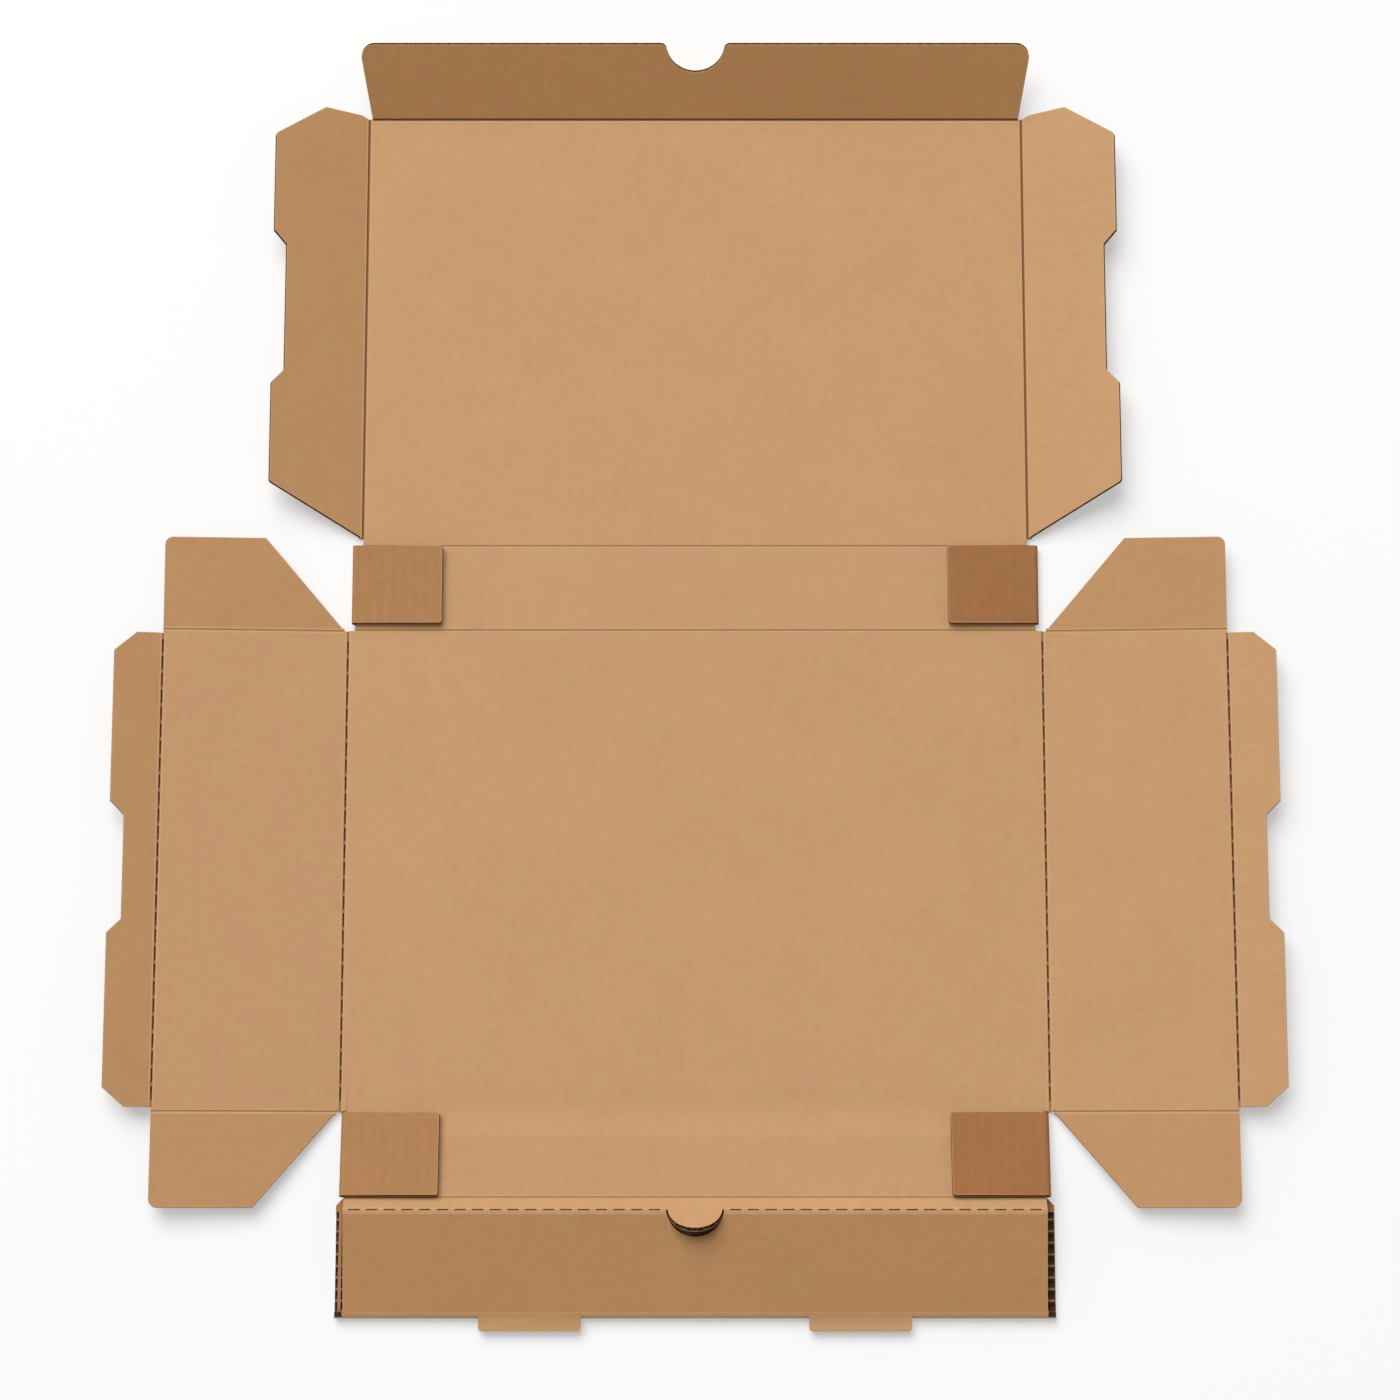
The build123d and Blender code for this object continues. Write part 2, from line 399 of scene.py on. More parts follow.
def kraft_group():
    """Paper of long fibres: clouds, patches, mottling, flecks and flute lines, darker in creases from
    crushed paper and painted shade, and lighter where worn and where a highlight is painted.
    """
    group = bpy.data.node_groups.new("kraft_paper", "ShaderNodeTree")
    face = group.interface
    for name, kind in (
        ("Tone", "NodeSocketColor"),
        ("Patch tone", "NodeSocketColor"),
        ("Pressed tone", "NodeSocketColor"),
        ("Rubbed tone", "NodeSocketColor"),
        ("Mottle", "NodeSocketFloat"),
        ("Fibre", "NodeSocketFloat"),
        ("Flecks", "NodeSocketFloat"),
        ("Flute lines", "NodeSocketFloat"),
        ("Flute turn", "NodeSocketFloat"),
        ("Crushed and shaded", "NodeSocketFloat"),
        ("Worn and lit", "NodeSocketFloat"),
    ):
        face.new_socket(name, in_out="INPUT", socket_type=kind)
    face.new_socket("Color", in_out="OUTPUT", socket_type="NodeSocketColor")
    face.new_socket("Roughness", in_out="OUTPUT", socket_type="NodeSocketFloat")
    face.new_socket("Height", in_out="OUTPUT", socket_type="NodeSocketFloat")
    n = Nodes(group)
    given = n.add("NodeGroupInput").outputs
    result = n.add("NodeGroupOutput").inputs
    place = n.add("ShaderNodeTexCoord").outputs["Object"]

    cloud = n.swing(n.noise(place, CLOUD_SCALE, 3), CLOUD_SHARE)
    mottle = n.swing(n.noise(place, MOTTLE_SCALE, 5, 0.62), 1.0)
    stretched = n.add("ShaderNodeMapping")
    n.put(stretched.inputs["Vector"], place)
    stretched.inputs["Rotation"].default_value = (0.0, 0.0, FIBRE_TURN)
    stretched.inputs["Scale"].default_value = FIBRE_STRETCH
    fibre = n.swing(n.noise(stretched.outputs["Vector"], FIBRE_SCALE, 4, 0.7), 1.0)
    speck = n.noise(place, FLECK_SCALE, 2, 0.6)
    fleck = n.math("MULTIPLY", n.math("SUBTRACT", speck, FLECK_FROM), FLECK_RISE, clamp=True)

    turned = n.add("ShaderNodeVectorRotate", rotation_type="Z_AXIS")
    n.put(turned.inputs["Vector"], place)
    n.put(turned.inputs["Angle"], given["Flute turn"])
    split = n.add("ShaderNodeSeparateXYZ")
    n.put(split.inputs[0], turned.outputs["Vector"])
    wander = n.swing(n.noise(place, WANDER_SCALE, 2), WANDER)
    phase = n.math("MULTIPLY", n.math("ADD", split.outputs["X"], wander), 2 * pi / (FLUTE_PITCH * MM))
    ripple = n.math("SINE", phase)
    patchy = n.math("ADD", n.noise(place, FADE_SCALE, 3), FADE)
    lines = n.math("MULTIPLY", n.math("MULTIPLY", ripple, patchy), given["Flute lines"])

    change = n.math("ADD", 1.0, n.math("MULTIPLY", cloud, given["Mottle"]))
    change = n.math("ADD", change, n.math("MULTIPLY", mottle, given["Mottle"]))
    change = n.math("ADD", change, n.math("MULTIPLY", fibre, given["Fibre"]))
    change = n.math("ADD", change, lines)
    change = n.math("SUBTRACT", change, n.math("MULTIPLY", fleck, given["Flecks"]))
    blotch = n.noise(place, PATCH_SCALE, 3)
    patch = n.math("MULTIPLY", n.math("SUBTRACT", blotch, PATCH_FROM), PATCH_RISE, clamp=True)
    tinted = n.add("ShaderNodeVectorMath", operation="SCALE")
    n.put(tinted.inputs[0], n.mix(patch, given["Tone"], given["Patch tone"]))
    n.put(tinted.inputs["Scale"], change)
    worn_and_lit = n.mix(given["Worn and lit"], tinted.outputs["Vector"], given["Rubbed tone"])
    n.put(result["Color"], n.mix(given["Crushed and shaded"], worn_and_lit, given["Pressed tone"]))
    n.put(result["Roughness"], n.math("ADD", PAPER_ROUGHNESS, n.math("MULTIPLY", fibre, ROUGHNESS_SWING)))
    height = n.math("MULTIPLY", fibre, FIBRE_RELIEF)
    height = n.math("ADD", height, n.math("MULTIPLY", mottle, MOTTLE_RELIEF))
    height = n.math("ADD", height, n.math("MULTIPLY", lines, LINE_RELIEF))
    n.put(result["Height"], height)
    return group


kraft_paper = kraft_group()


def paper(name, tone, grain, cross=False):
    """A paper material of the kraft group with its own values. Its flutes run along X where it is cross."""
    material = bpy.data.materials.new(name)
    material.use_nodes = True
    n = Nodes(material.node_tree)
    shader = material.node_tree.nodes["Principled BSDF"]
    shader.inputs["Specular IOR Level"].default_value = PAPER_GLOSS
    kraft = n.add("ShaderNodeGroup")
    kraft.node_tree = kraft_paper
    crushed_and_shaded = n.add("ShaderNodeAttribute", attribute_name="crushed_and_shaded")
    worn_and_lit = n.add("ShaderNodeAttribute", attribute_name="worn_and_lit")
    mottle, fibre, flecks, flute_lines = grain
    patch_tone = [part * tint for part, tint in zip(tone, PATCH_TINT)]
    values = {
        "Tone": (*tone, 1.0),
        "Patch tone": (*patch_tone, 1.0),
        "Pressed tone": (*CRUSHED_AND_SHADED_TONE, 1.0),
        "Rubbed tone": (*WORN_AND_LIT_TONE, 1.0),
        "Mottle": mottle,
        "Fibre": fibre,
        "Flecks": flecks,
        "Flute lines": flute_lines,
        "Flute turn": radians(90) if cross else 0.0,
        "Crushed and shaded": crushed_and_shaded.outputs["Fac"],
        "Worn and lit": worn_and_lit.outputs["Fac"],
    }
    for socket, value in values.items():
        n.put(kraft.inputs[socket], value)
    raised = n.add("ShaderNodeBump")
    raised.inputs["Strength"].default_value = PAPER_BUMP
    raised.inputs["Distance"].default_value = PAPER_RELIEF
    n.put(raised.inputs["Height"], kraft.outputs["Height"])
    n.put(shader.inputs["Base Color"], kraft.outputs["Color"])
    n.put(shader.inputs["Roughness"], kraft.outputs["Roughness"])
    n.put(shader.inputs["Normal"], raised.outputs["Normal"])
    return material


inside = paper("kraft_inside", INSIDE_TONE, INSIDE_GRAIN)
inside_cross = paper("kraft_inside_cross", INSIDE_TONE, INSIDE_GRAIN, cross=True)
# copies of the inside paper with painted shade
shaded_wall_paper = paper("kraft_shaded_wall", WALL_SHADE_TONE, INSIDE_GRAIN)
shaded_side_paper = paper("kraft_shaded_side", SIDE_TONE, INSIDE_GRAIN)
shaded_left_paper = paper("kraft_shaded_left", LEFT_SHADE_TONE, INSIDE_GRAIN)
shaded_flap_paper = paper("kraft_shaded_flap", FLAP_SHADE_TONE, INSIDE_GRAIN)
inside_front = paper("kraft_inside_front", FRONT_TONE, INSIDE_GRAIN, cross=True)
outside = paper("kraft_outside", OUTSIDE_TONE, OUTSIDE_GRAIN)
outside_deep = paper("kraft_outside_deep", OUTSIDE_DEEP_TONE, OUTSIDE_GRAIN)
outside_cross = paper("kraft_outside_cross", OUTSIDE_TONE, OUTSIDE_GRAIN, cross=True)
fluted = paper("flute_paper", FLUTE_TONE, FLUTE_GRAIN)
shade = paper("flute_shade", SHADE_TONE, SHADE_GRAIN)
INNER_PAPER = {
    "front_wall": shaded_wall_paper,
    "lid_front_flap": shaded_flap_paper,
    "left_wall": shaded_wall_paper,
    "lid_left_flap": shaded_left_paper,
    "left_lock_flap": shaded_left_paper,
    "left_rear_ear": shaded_left_paper,
    "left_front_ear": shaded_left_paper,
    "right_rear_ear": shaded_side_paper,
    "right_front_ear": shaded_side_paper,
    "front_panel": inside_front,
}
OUTER_PAPER = {"back_right_tab": outside_deep, "front_right_tab": outside_deep}


# Corrugated panels


def solid_of(node, name):
    """A merged copy of a panel's solid, laid into the panel's own frame, in millimetres."""
    piece = clone(frame["nodes"][node], name)
    piece.data.transform(Matrix.Scale(1 / MM, 4) @ places[node].inverted())
    only(piece)
    bpy.ops.mesh.customdata_custom_splitnormals_clear()
    bpy.ops.object.shade_flat()
    bpy.ops.object.mode_set(mode="EDIT")
    bpy.ops.mesh.select_all(action="SELECT")
    bpy.ops.mesh.remove_doubles(threshold=0.001)
    bpy.ops.mesh.dissolve_limited(angle_limit=radians(0.5))
    bpy.ops.object.mode_set(mode="OBJECT")
    piece.data.materials.clear()
    return piece


def flute_sheet(low, high, cross):
    """The fluted medium between two corners: one flute, repeated, with the thickness of its paper."""
    width, length = high.x - low.x, high.y - low.y
    if cross:
        width, length = length, width
    count = int(width / FLUTE_PITCH) + SPARE_FLUTES
    bpy.ops.mesh.primitive_grid_add(x_subdivisions=FLUTE_STEPS, y_subdivisions=1, size=1)
    sheet = bpy.context.object
    rise = BOARD / 2 - LINER - FLUTE_PAPER / 2 + OVERCUT
    for vertex in sheet.data.vertices:
        share = vertex.co.x
        vertex.co = (share * FLUTE_PITCH, vertex.co.y * (length + FLUTE_SPARE), rise * cos(2 * pi * share))
    row = sheet.modifiers.new("row", "ARRAY")
    row.count = count
    row.use_relative_offset = False
    row.use_constant_offset = True
    row.constant_offset_displace = (FLUTE_PITCH, 0, 0)
    row.use_merge_vertices = True
    row.merge_threshold = 0.01
    wall = sheet.modifiers.new("wall", "SOLIDIFY")
    wall.thickness = FLUTE_PAPER
    wall.offset = 0
    only(sheet)
    bpy.ops.object.modifier_apply(modifier=row.name)
    bpy.ops.object.modifier_apply(modifier=wall.name)
    sheet.data.transform(Matrix.Translation((-(count - 1) * FLUTE_PITCH / 2, 0, 0)))
    if cross:
        sheet.data.transform(Matrix.Rotation(radians(90), 4, "Z"))
    middle = (low + high) / 2
    sheet.data.transform(Matrix.Translation((middle.x, middle.y, -BOARD / 2)))
    return sheet


def crease_cutters(node, place):
    """Boxes that clear a panel along its creases, in its frame. The tabs' inner liners stay whole."""
    cutters = []
    flat = Matrix.Scale(1 / MM, 4) @ place.inverted()
    for child in creases_on(node):
        at, lift, spans = creases[child]
        if child == node:
            at = at @ Matrix.Rotation(lift, 4, "X")
        half = fold_half(child)
        for start, end in spans:
            low = (start - OVERCUT, -half, -2 * BOARD)
            high = (end + OVERCUT, half, 2 * BOARD)
            if child in TABS:
                high = (end + OVERCUT, half, -BOARD / 2)
            cutters.append(block(low, high, flat @ at @ Matrix.Scale(MM, 4)))
    return cutters


def choose_faces(piece, chosen):
    """Select only the faces that pass a test, ready for an edit."""
    only(piece)
    for part in (*piece.data.edges, *piece.data.vertices):
        part.select = False
    for face in piece.data.polygons:
        face.select = chosen(face)


def dress_liner(liner, material, away):
    """Paint a liner, give its hidden face, on the side of away, painted shade, and lighten the edges of its
    other face with worn paper and a painted highlight.
    """
    paint(liner, material)
    liner.data.materials.append(shade)
    for face in liner.data.polygons:
        face.material_index = 1 if face.normal.z * away > FACING else 0
    choose_faces(liner, lambda face: face.normal.z * away < -FACING)
    bpy.ops.object.mode_set(mode="EDIT")
    bpy.ops.mesh.select_mode(type="FACE")
    bpy.ops.mesh.inset(thickness=EDGE_WORN_AND_LIT_WIDTH)
    bpy.ops.object.mode_set(mode="OBJECT")
    whole = {index for face in liner.data.polygons if face.select for index in face.vertices}
    surface = 0 if away < 0 else -BOARD
    worn_and_lit = liner.data.attributes.new("worn_and_lit", "FLOAT", "POINT")
    for vertex in liner.data.vertices:
        on_edge = abs(vertex.co.z - surface) < LINER / 2 and vertex.index not in whole
        worn_and_lit.data[vertex.index].value = EDGE_WORN_AND_LIT if on_edge else 0.0


def dress_medium(medium, cross, crest_highlight):
    """Give the medium painted shade in its flutes and its own paper tone where it is cut, and lighten its
    outer crests with a painted highlight.
    """
    paint(medium, shade)
    medium.data.materials.append(fluted)
    for face in medium.data.polygons:
        along = face.normal.x if cross else face.normal.y
        face.material_index = 1 if abs(along) > CUT_FACING else 0
    worn_and_lit = medium.data.attributes.new("worn_and_lit", "FLOAT", "POINT")
    for vertex in medium.data.vertices:
        worn_and_lit.data[vertex.index].value = crest_highlight if vertex.co.z < -BOARD + LINER + OVERCUT else 0.0


def shrunk(solid, low, high):
    """Draw the edges of a plate in, so that it holds the medium."""
    middle = (low + high) / 2
    size = high - low
    scale = Vector((1 - 2 * RECESS / size.x, 1 - 2 * RECESS / size.y, 1))
    shrink = Matrix.LocRotScale(None, None, scale)
    solid.data.transform(Matrix.Translation(middle) @ shrink @ Matrix.Translation(-middle))
    return solid


def corrugate(solid, name, cross, cutters, papers, peeled=()):
    """Turn a plate into inner liner, medium and outer liner, clear its creases and peel its outer liner."""
    corners = [Vector(corner) for corner in solid.bound_box]
    low, high = corners[0], corners[6]
    inner = slice_off(clone(solid, name + "_inner"), (0, 0, -LINER), (0, 0, -1))
    outer = slice_off(clone(solid, name + "_outer"), (0, 0, -BOARD + LINER), (0, 0, 1))
    medium = carve(flute_sheet(low, high, cross), shrunk(solid, low, high), "INTERSECT")
    dress_liner(inner, papers[0], -1)
    dress_liner(outer, papers[1], 1)
    dress_medium(medium, cross, CREST_HIGHLIGHT if peeled else 0.0)
    layers = [inner, outer, medium]
    for cutter in cutters:
        for layer in layers:
            carve(layer, cutter, "DIFFERENCE")
    for cutter in peeled:
        carve(outer, cutter, "DIFFERENCE")
    discard(solid, *cutters, *peeled)
    return join(layers, name)


def finish_board(piece, place, node):
    """Bring a board from its own frame into place and hang it on its body."""
    piece.data.transform(place @ Matrix.Scale(MM, 4))
    smooth(piece)
    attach(piece, node)
    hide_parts(node)


def papers_for(node):
    """Inner and outer liner of a panel."""
    cross = node in CROSS_FLUTED
    inner = INNER_PAPER.get(node, inside_cross if cross else inside)
    outer = OUTER_PAPER.get(node, outside_cross if cross else outside)
    return inner, outer


for panel in frame["nodes"]:
    if panel == "front_panel":
        continue
    at = places[panel]
    tools = crease_cutters(panel, at)
    plate = solid_of(panel, panel)
    board = corrugate(plate, panel + "_board", panel in CROSS_FLUTED, tools, papers_for(panel))
    finish_board(board, at, panel)


# The doubled front panel

PANEL_LENGTH = 53.6
FOLD_RADIUS = 3.1
FOLD_WORN_AND_LIT = 0.7  # how much lighter paper shows on the round fold: stretched, worn paper and a painted highlight
FOLD_RIM = 0.7  # thickness of the skin that is left at the fold's open ends
# the sunk faces of the hollow tab ends take painted shade
TAB_HOLLOW = 1.2  # depth of the hollow cut ends of the lock tabs
LINING_TUCK = 3.4  # the lining's free edge is tucked this far up under the strip
TUCK_CUT = 4.0  # its corners are cut off aslant: so far along the edge and so far down the ends
TUCK_SLANT = 5.2
PEEL_START = 1.0  # the lining has lost strips of its upper liner, from here on
PEELED_LEFT = ((0.3, 1.3), (2.8, 6.0))  # each strip's edges, from the panel's end outwards
PEELED_RIGHT = ((0.5, 4.1),)


def hollow(piece, direction, beyond, wall, depth):
    """Press in the faces that look one way past a place, leave their paper as a rim, and give the sunk faces
    the piece's second material, which on the fold is painted shade.
    """
    direction = Vector(direction)
    choose_faces(
        piece, lambda face: face.normal.dot(direction) > FACING and face.center.dot(direction) > beyond
    )
    bpy.ops.object.mode_set(mode="EDIT")
    bpy.ops.mesh.select_mode(type="FACE")
    bpy.ops.mesh.inset(thickness=wall, use_individual=True)
    bpy.ops.mesh.extrude_region_move(TRANSFORM_OT_translate={"value": -direction * depth})
    bpy.ops.object.mode_set(mode="OBJECT")
    for face in piece.data.polygons:
        if face.select:
            face.material_index = 1


def peel_boxes(panel_reach, near, far):
    """Boxes that take strips of the upper liner off the ends of the lining."""
    boxes = []
    for side, strips in ((-1, PEELED_LEFT), (1, PEELED_RIGHT)):
        for start, end in strips:
            ends = sorted((side * (panel_reach + start), side * (panel_reach + end)))
            boxes.append(block((ends[0], near, -2 * BOARD), (ends[1], far, -BOARD / 2), Matrix.Identity(4)))
    return boxes


def open_fold_ends(whole, panel_reach, reach, fold_y):
    """Cut the upper half off the fold where it runs past the panel's ends, and leave its skin as a rim."""
    for side in (-1, 1):
        ends = sorted((side * (panel_reach + LINER), side * (reach + BOARD)))
        low = (ends[0], fold_y - 2 * BOARD, -FOLD_RADIUS - LINER)
        high = (ends[1], PANEL_LENGTH - FOLD_RIM, BOARD)
        tool = block(low, high, Matrix.Identity(4))
        carve(whole, tool, "DIFFERENCE")
        discard(tool)


def lighten_fold(fold, fold_y):
    """Lighten the paper along the outside of the round fold, strongest halfway round: stretched, worn paper
    and a painted highlight.
    """
    worn_and_lit = fold.data.attributes.new("worn_and_lit", "FLOAT", "POINT")
    for vertex in fold.data.vertices:
        turn = atan2(vertex.co.y - fold_y, vertex.co.z + FOLD_RADIUS)
        worn_and_lit.data[vertex.index].value = FOLD_WORN_AND_LIT * max(0.0, sin(2 * turn)) if 0 < turn < pi / 2 else 0.0


def front_panel_board():
    """Layer, lining and round fold with the lock tabs, joined into one board."""
    node = "front_panel"
    place = places[node]
    drop = atan2(-place.col[2].y, place.col[2].z)
    whole = solid_of(node, "front_panel_solid")
    tall = max(vertex.co.z for vertex in whole.data.vertices)
    reach = max(abs(vertex.co.x) for vertex in whole.data.vertices)
    top_edge = [v.co for v in whole.data.vertices if v.co.y < BOARD and v.co.z > tall - BOARD / 2]
    layer_reach = max(abs(corner.x) for corner in top_edge)
    fold_y = PANEL_LENGTH - FOLD_RADIUS
    upright = Vector((0, -sin(drop / 2), cos(drop / 2)))
    open_fold_ends(whole, layer_reach, reach, fold_y)

    strip = slice_off(clone(whole, "front_layer"), (0, fold_y, 0), (0, 1, 0))
    lining = clone(strip, "front_lining")
    slice_off(strip, (0, fold_y, -FOLD_RADIUS), -upright)
    slice_off(lining, (0, fold_y, -FOLD_RADIUS), upright)
    fold = slice_off(whole, (0, fold_y, 0), (0, -1, 0))

    layer = corrugate(strip, "front_layer", True, crease_cutters(node, place), papers_for(node))
    layer.data.transform(place @ Matrix.Scale(MM, 4))

    floor_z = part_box(node)[0].z
    below = Matrix.Translation((0, 0, floor_z)) @ Matrix.Rotation(pi, 4, "X")
    lining.data.transform(Matrix.Scale(1 / MM, 4) @ below.inverted() @ place @ Matrix.Scale(MM, 4))
    tucked = min(vertex.co.y for vertex in lining.data.vertices)
    for vertex in lining.data.vertices:
        if vertex.co.y < tucked + BOARD / 2:
            vertex.co.y -= LINING_TUCK
    for side in (-1, 1):
        corner = (side * (reach - TUCK_CUT), tucked - LINING_TUCK, 0)
        slice_off(lining, corner, (side * TUCK_SLANT, -TUCK_CUT, 0))
    ridge = -place.translation.y / MM
    peeled = peel_boxes(layer_reach, ridge + PEEL_START, ridge + 2 * PANEL_LENGTH)
    lining = corrugate(lining, "front_lining", True, [], (inside_cross, outside_cross), peeled)
    lining.data.transform(below @ Matrix.Scale(MM, 4))

    paint(fold, inside_front)
    fold.data.materials.append(shade)
    # the fold's cut-open ends past the panel take painted shade
    for face in fold.data.polygons:
        if abs(face.center.x) > layer_reach and max(abs(way) for way in face.normal) > FACING:
            face.material_index = 1
    hollow(fold, (0, 1, 0), PANEL_LENGTH + 1, LINER, TAB_HOLLOW)
    lighten_fold(fold, fold_y)
    fold.data.transform(place @ Matrix.Scale(MM, 4))
    board = join([layer, lining, fold], "front_panel_board")
    smooth(board)
    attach(board, node)
    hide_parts(node)


front_panel_board()


# Creases


def rows_of(start, end, kind):
    """Places along a crease, each with the share of slit at that place."""
    slit = CREASES[kind][4]
    if not slit:
        return [(start + (end - start) * i / PLAIN_ROWS, 0.0) for i in range(PLAIN_ROWS + 1)]
    rows = [(start, 0.0)]
    count = int((end - start) / SLIT_PITCH)
    first = (start + end - count * SLIT_PITCH) / 2
    for i in range(count):
        near = first + i * SLIT_PITCH + (SLIT_PITCH - slit) / 2
        far = near + slit
        rows += [(near, 0.0), (near + SLIT_RAMP, 1.0), (far - SLIT_RAMP, 1.0), (far, 0.0)]
    rows.append((end, 0.0))
    return rows


def liner_strip(rows, stations, kind, outer):
    """One liner of a crease, flat: a grid with its groove and slits sunk in, darkened with crushed paper and
    painted shade and lit along its lip with a painted highlight, then given its thickness.
    """
    depth, half, dark, lip, _, slit_depth = CREASES[kind]
    bpy.ops.mesh.primitive_grid_add(x_subdivisions=len(rows) - 1, y_subdivisions=len(stations) - 1, size=1)
    strip = bpy.context.object
    strip.data.attributes.new("crushed_and_shaded", "FLOAT", "POINT")
    strip.data.attributes.new("worn_and_lit", "FLOAT", "POINT")
    crushed_and_shaded = strip.data.attributes["crushed_and_shaded"].data
    worn_and_lit = strip.data.attributes["worn_and_lit"].data
    for vertex in strip.data.vertices:
        along, cut = rows[round((vertex.co.x + 0.5) * (len(rows) - 1))]
        across = stations[round((vertex.co.y + 0.5) * (len(stations) - 1))]
        if outer:
            vertex.co = (along, across, -BOARD)
            continue
        bowl = max(0.0, 1 - (abs(across) / half) ** 2)
        core = max(0.0, 1 - (abs(across) / (SLIT_WIDTH * half)) ** 2) * cut
        vertex.co = (along, across, -max(depth * bowl, slit_depth * core))
        # darker in the groove and slits: crushed paper and painted shade; lighter at the lip: painted
        # highlight
        crushed_and_shaded[vertex.index].value = max(dark * bowl, core ** 0.5)
        worn_and_lit[vertex.index].value = lip * max(0.0, 1 - abs(abs(across) / half - LIP_AT) / LIP_WIDTH)
    only(strip)
    if outer:
        bpy.ops.object.mode_set(mode="EDIT")
        bpy.ops.mesh.select_all(action="SELECT")
        bpy.ops.mesh.flip_normals()
        bpy.ops.object.mode_set(mode="OBJECT")
    wall = strip.modifiers.new("wall", "SOLIDIFY")
    wall.thickness = LINER
    wall.offset = -1
    bpy.ops.object.modifier_apply(modifier=wall.name)
    return strip


def bend(strip, lift, half, mitred):
    """Bend a flat strip about its crease, softly over some width, or sharply where it is mitred."""
    for vertex in strip.data.vertices:
        share = min(1.0, max(0.0, (vertex.co.y + half) / (2 * half)))
        share = share * share * (3 - 2 * share)
        if mitred:
            share = 1.0 if vertex.co.y > 0 else 0.0
        vertex.co = Matrix.Rotation(lift * share, 3, "X") @ vertex.co


def place_crease(strip, child, name):
    """Bring a bent crease strip into place between its two panels."""
    at = creases[child][0] @ Matrix.Scale(MM, 4)
    strip.name = name
    strip.data.name = name
    strip.data.transform(at)
    smooth(strip, CREASE_SHARP)
    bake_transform(strip)


def crease(child):
    """Make the strips of one crease and hang them between its two panels."""
    _, lift, spans = creases[child]
    kind = CREASE_OF.get(child, "thin")
    half = fold_half(child)
    soft = RIDGE_BEND if child == "front_panel" else half
    stations = [half * share for share in ACROSS]
    inner_strips = []
    outer_strips = []
    for start, end in spans:
        ends = rows_of(start, end, "thin")
        if child not in TABS:
            strip = liner_strip(rows_of(start, end, kind), stations, kind, False)
            inner_strips.append(paint(strip, inside))
        if child == "front_panel":
            run = BOARD * sin(-lift / 2) / cos(lift / 2)
            mitre = [-half, -(half + run) / 2, -run, (half + run) / 2, half]
            strip = liner_strip(ends, mitre, kind, True)
            bend(strip, lift, half, True)
        else:
            strip = liner_strip(ends, stations, kind, True)
        outer_strips.append(paint(strip, OUTER_PAPER.get(child, outside)))
    if child == "front_panel":
        under = join(outer_strips, "front_ridge_lining")
        place_crease(under, child, "front_ridge_lining")
        outer_strips = []
    whole = join(inner_strips + outer_strips, child + "_crease")
    bend(whole, lift, soft, False)
    if child in TABS:
        bulge = FRONT_TAB_BULGE if child.startswith("front") else BACK_TAB_BULGE
        for vertex in whole.data.vertices:
            if vertex.co.y > 0:
                vertex.co.y *= bulge
        place_crease(whole, child, child + "_crease")
    else:
        place_crease(whole, child, child + "_crease")


for panel in joint_of:
    crease(panel)


# Table, light and camera, in metres

TABLE_SIZE = 12.0
TABLE_DROP = 0.0003  # the table lies this far below the board
TABLE_TONE = (0.93, 0.93, 0.935)
TABLE_ROUGHNESS = 0.9
TABLE_GLOW = 0.38  # share of plain white in the table near the box, as the camera sees it
GLOW_NEAR = 0.6  # between these distances from the box the table turns all white
GLOW_FAR = 1.8
WHITE = (1.0, 1.0, 1.0, 1.0)
SKY_STRENGTH = 0.29
SOFTBOX_AIM = Vector((0.0, 0.09, 0.0))
SOFTBOX_DIRECTION = Vector((-0.3, 0.63, 1.0)).normalized()
SOFTBOX_DISTANCE = 9.0
SOFTBOX_SIZE = 7.2
SOFTBOX_POWER = 872
CAMERA_AIM = Vector((0.0024, 0.0858, 0.0))
CAMERA_ELEVATION = radians(80.18)
CAMERA_DISTANCE = 1.7625
CAMERA_LENS = 90
CAMERA_SENSOR = 36


def white_for_camera(n, output, lit, share):
    """Send a plain white glow to the camera and to mirrors, mixed with what is lit."""
    path = n.add("ShaderNodeLightPath").outputs
    seen = n.math("MAXIMUM", path["Is Camera Ray"], path["Is Glossy Ray"])
    seen = n.math("MAXIMUM", seen, path["Is Transmission Ray"])
    glow = n.add("ShaderNodeBackground" if output.node.type == "OUTPUT_WORLD" else "ShaderNodeEmission")
    glow.inputs["Color"].default_value = WHITE
    glow.inputs["Strength"].default_value = 1.0
    mixed = n.add("ShaderNodeMixShader")
    n.put(mixed.inputs["Fac"], n.math("MULTIPLY", seen, share))
    n.put(mixed.inputs[1], lit)
    n.put(mixed.inputs[2], glow.outputs[0])
    n.put(output, mixed.outputs[0])


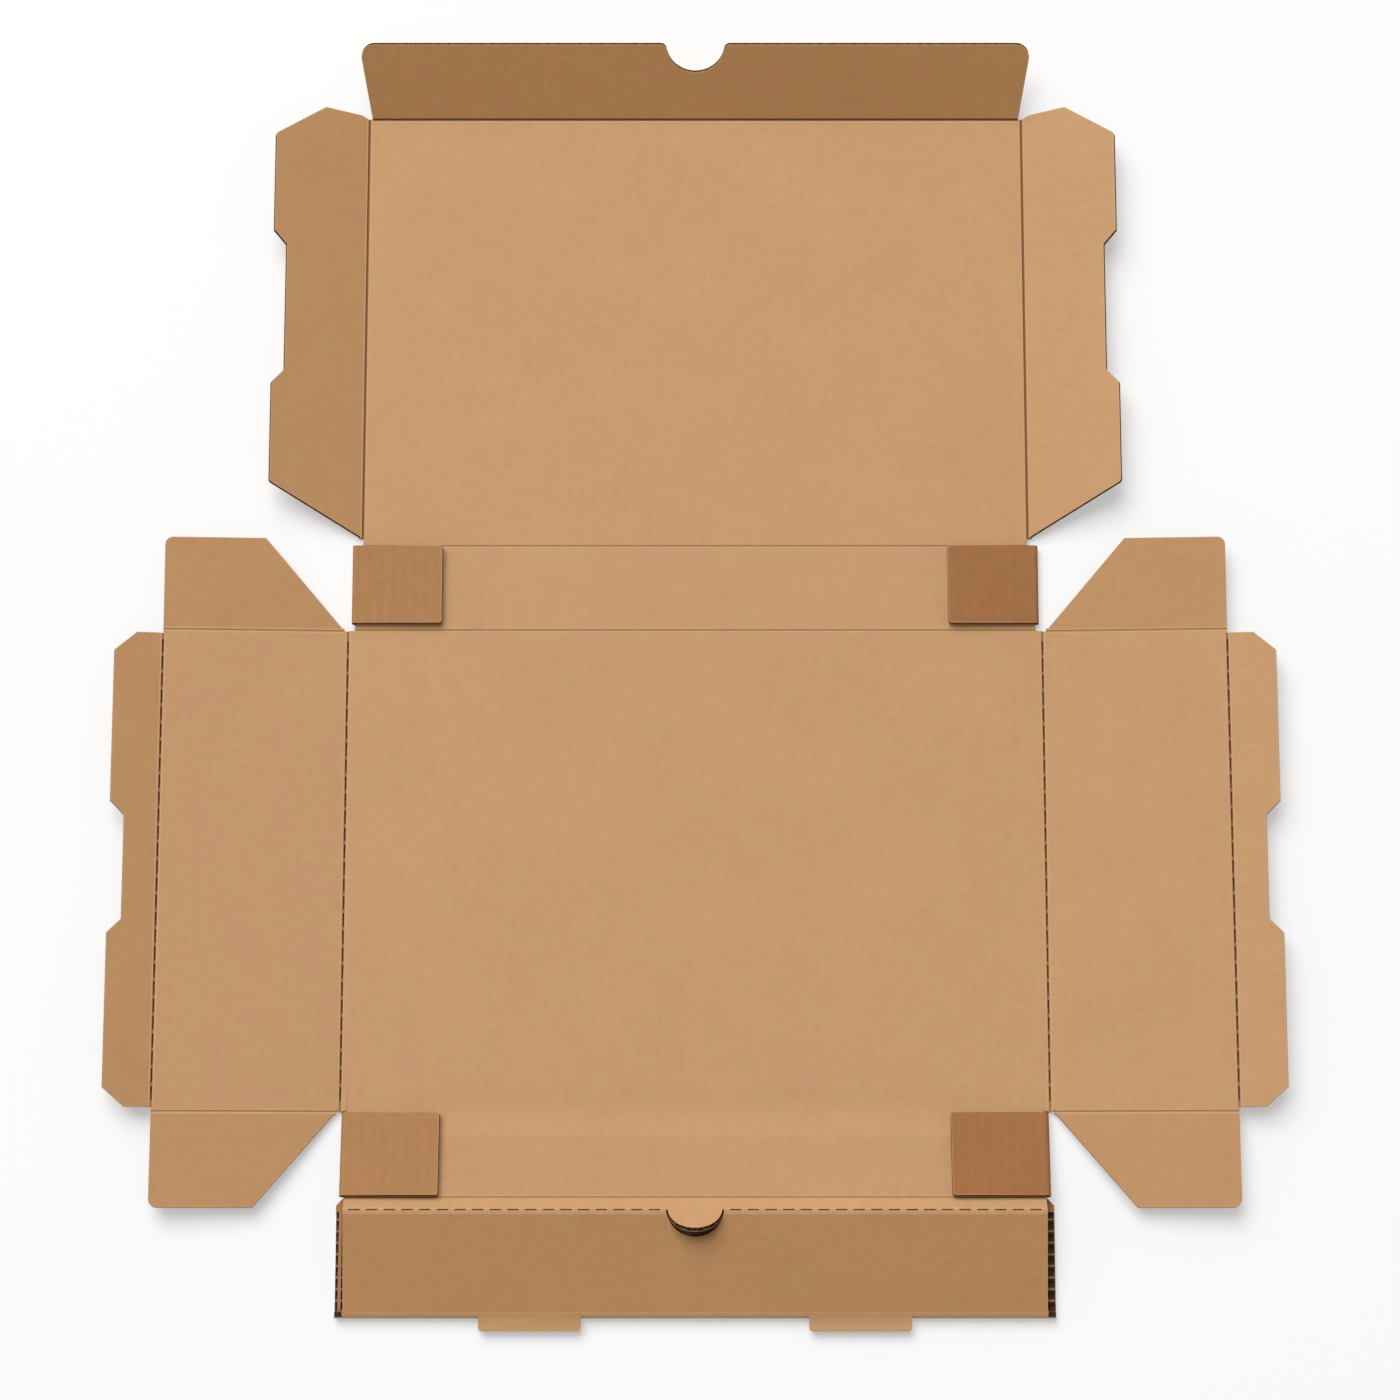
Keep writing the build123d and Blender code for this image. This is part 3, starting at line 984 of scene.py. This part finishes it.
def make_table():
    """A wide pale table that keeps the shadow of the box."""
    bpy.ops.mesh.primitive_plane_add(size=TABLE_SIZE, location=(0, 0, -TABLE_DROP))
    table = bpy.context.object
    table.name = "table"
    material = bpy.data.materials.new("white_table")
    material.use_nodes = True
    n = Nodes(material.node_tree)
    shader = material.node_tree.nodes["Principled BSDF"]
    shader.inputs["Base Color"].default_value = (*TABLE_TONE, 1.0)
    shader.inputs["Roughness"].default_value = TABLE_ROUGHNESS
    output = material.node_tree.nodes["Material Output"].inputs["Surface"]
    far = n.add("ShaderNodeVectorMath", operation="LENGTH")
    n.put(far.inputs[0], n.add("ShaderNodeTexCoord").outputs["Object"])
    glow = n.add("ShaderNodeMapRange", interpolation_type="SMOOTHSTEP")
    n.put(glow.inputs["Value"], far.outputs["Value"])
    glow.inputs["From Min"].default_value = GLOW_NEAR
    glow.inputs["From Max"].default_value = GLOW_FAR
    glow.inputs["To Min"].default_value = TABLE_GLOW
    white_for_camera(n, output, shader.outputs[0], glow.outputs["Result"])
    table.data.materials.append(material)


def make_light():
    """Even white surroundings and one large softbox behind the box."""
    world = bpy.data.worlds.new("studio")
    bpy.context.scene.world = world
    world.use_nodes = True
    n = Nodes(world.node_tree)
    sky = world.node_tree.nodes["Background"]
    sky.inputs["Color"].default_value = WHITE
    sky.inputs["Strength"].default_value = SKY_STRENGTH
    output = world.node_tree.nodes["World Output"].inputs["Surface"]
    white_for_camera(n, output, sky.outputs[0], 1.0)
    lamp = bpy.data.lights.new("softbox", "AREA")
    lamp.shape = "SQUARE"
    lamp.size = SOFTBOX_SIZE
    lamp.energy = SOFTBOX_POWER
    softbox = bpy.data.objects.new("softbox", lamp)
    bpy.context.scene.collection.objects.link(softbox)
    softbox.location = SOFTBOX_AIM + SOFTBOX_DIRECTION * SOFTBOX_DISTANCE
    softbox.rotation_euler = (-SOFTBOX_DIRECTION).to_track_quat("-Z", "Y").to_euler()


def make_camera():
    """A camera almost straight above the box."""
    lens = bpy.data.cameras.new("camera")
    lens.lens = CAMERA_LENS
    lens.sensor_width = CAMERA_SENSOR
    camera = bpy.data.objects.new("camera", lens)
    bpy.context.scene.collection.objects.link(camera)
    back = Vector((0, -cos(CAMERA_ELEVATION), sin(CAMERA_ELEVATION)))
    camera.location = CAMERA_AIM + back * CAMERA_DISTANCE
    camera.rotation_euler = (-back).to_track_quat("-Z", "Y").to_euler()
    bpy.context.scene.camera = camera


make_table()
make_light()
make_camera()
bpy.context.scene.view_settings.view_transform = "Standard"
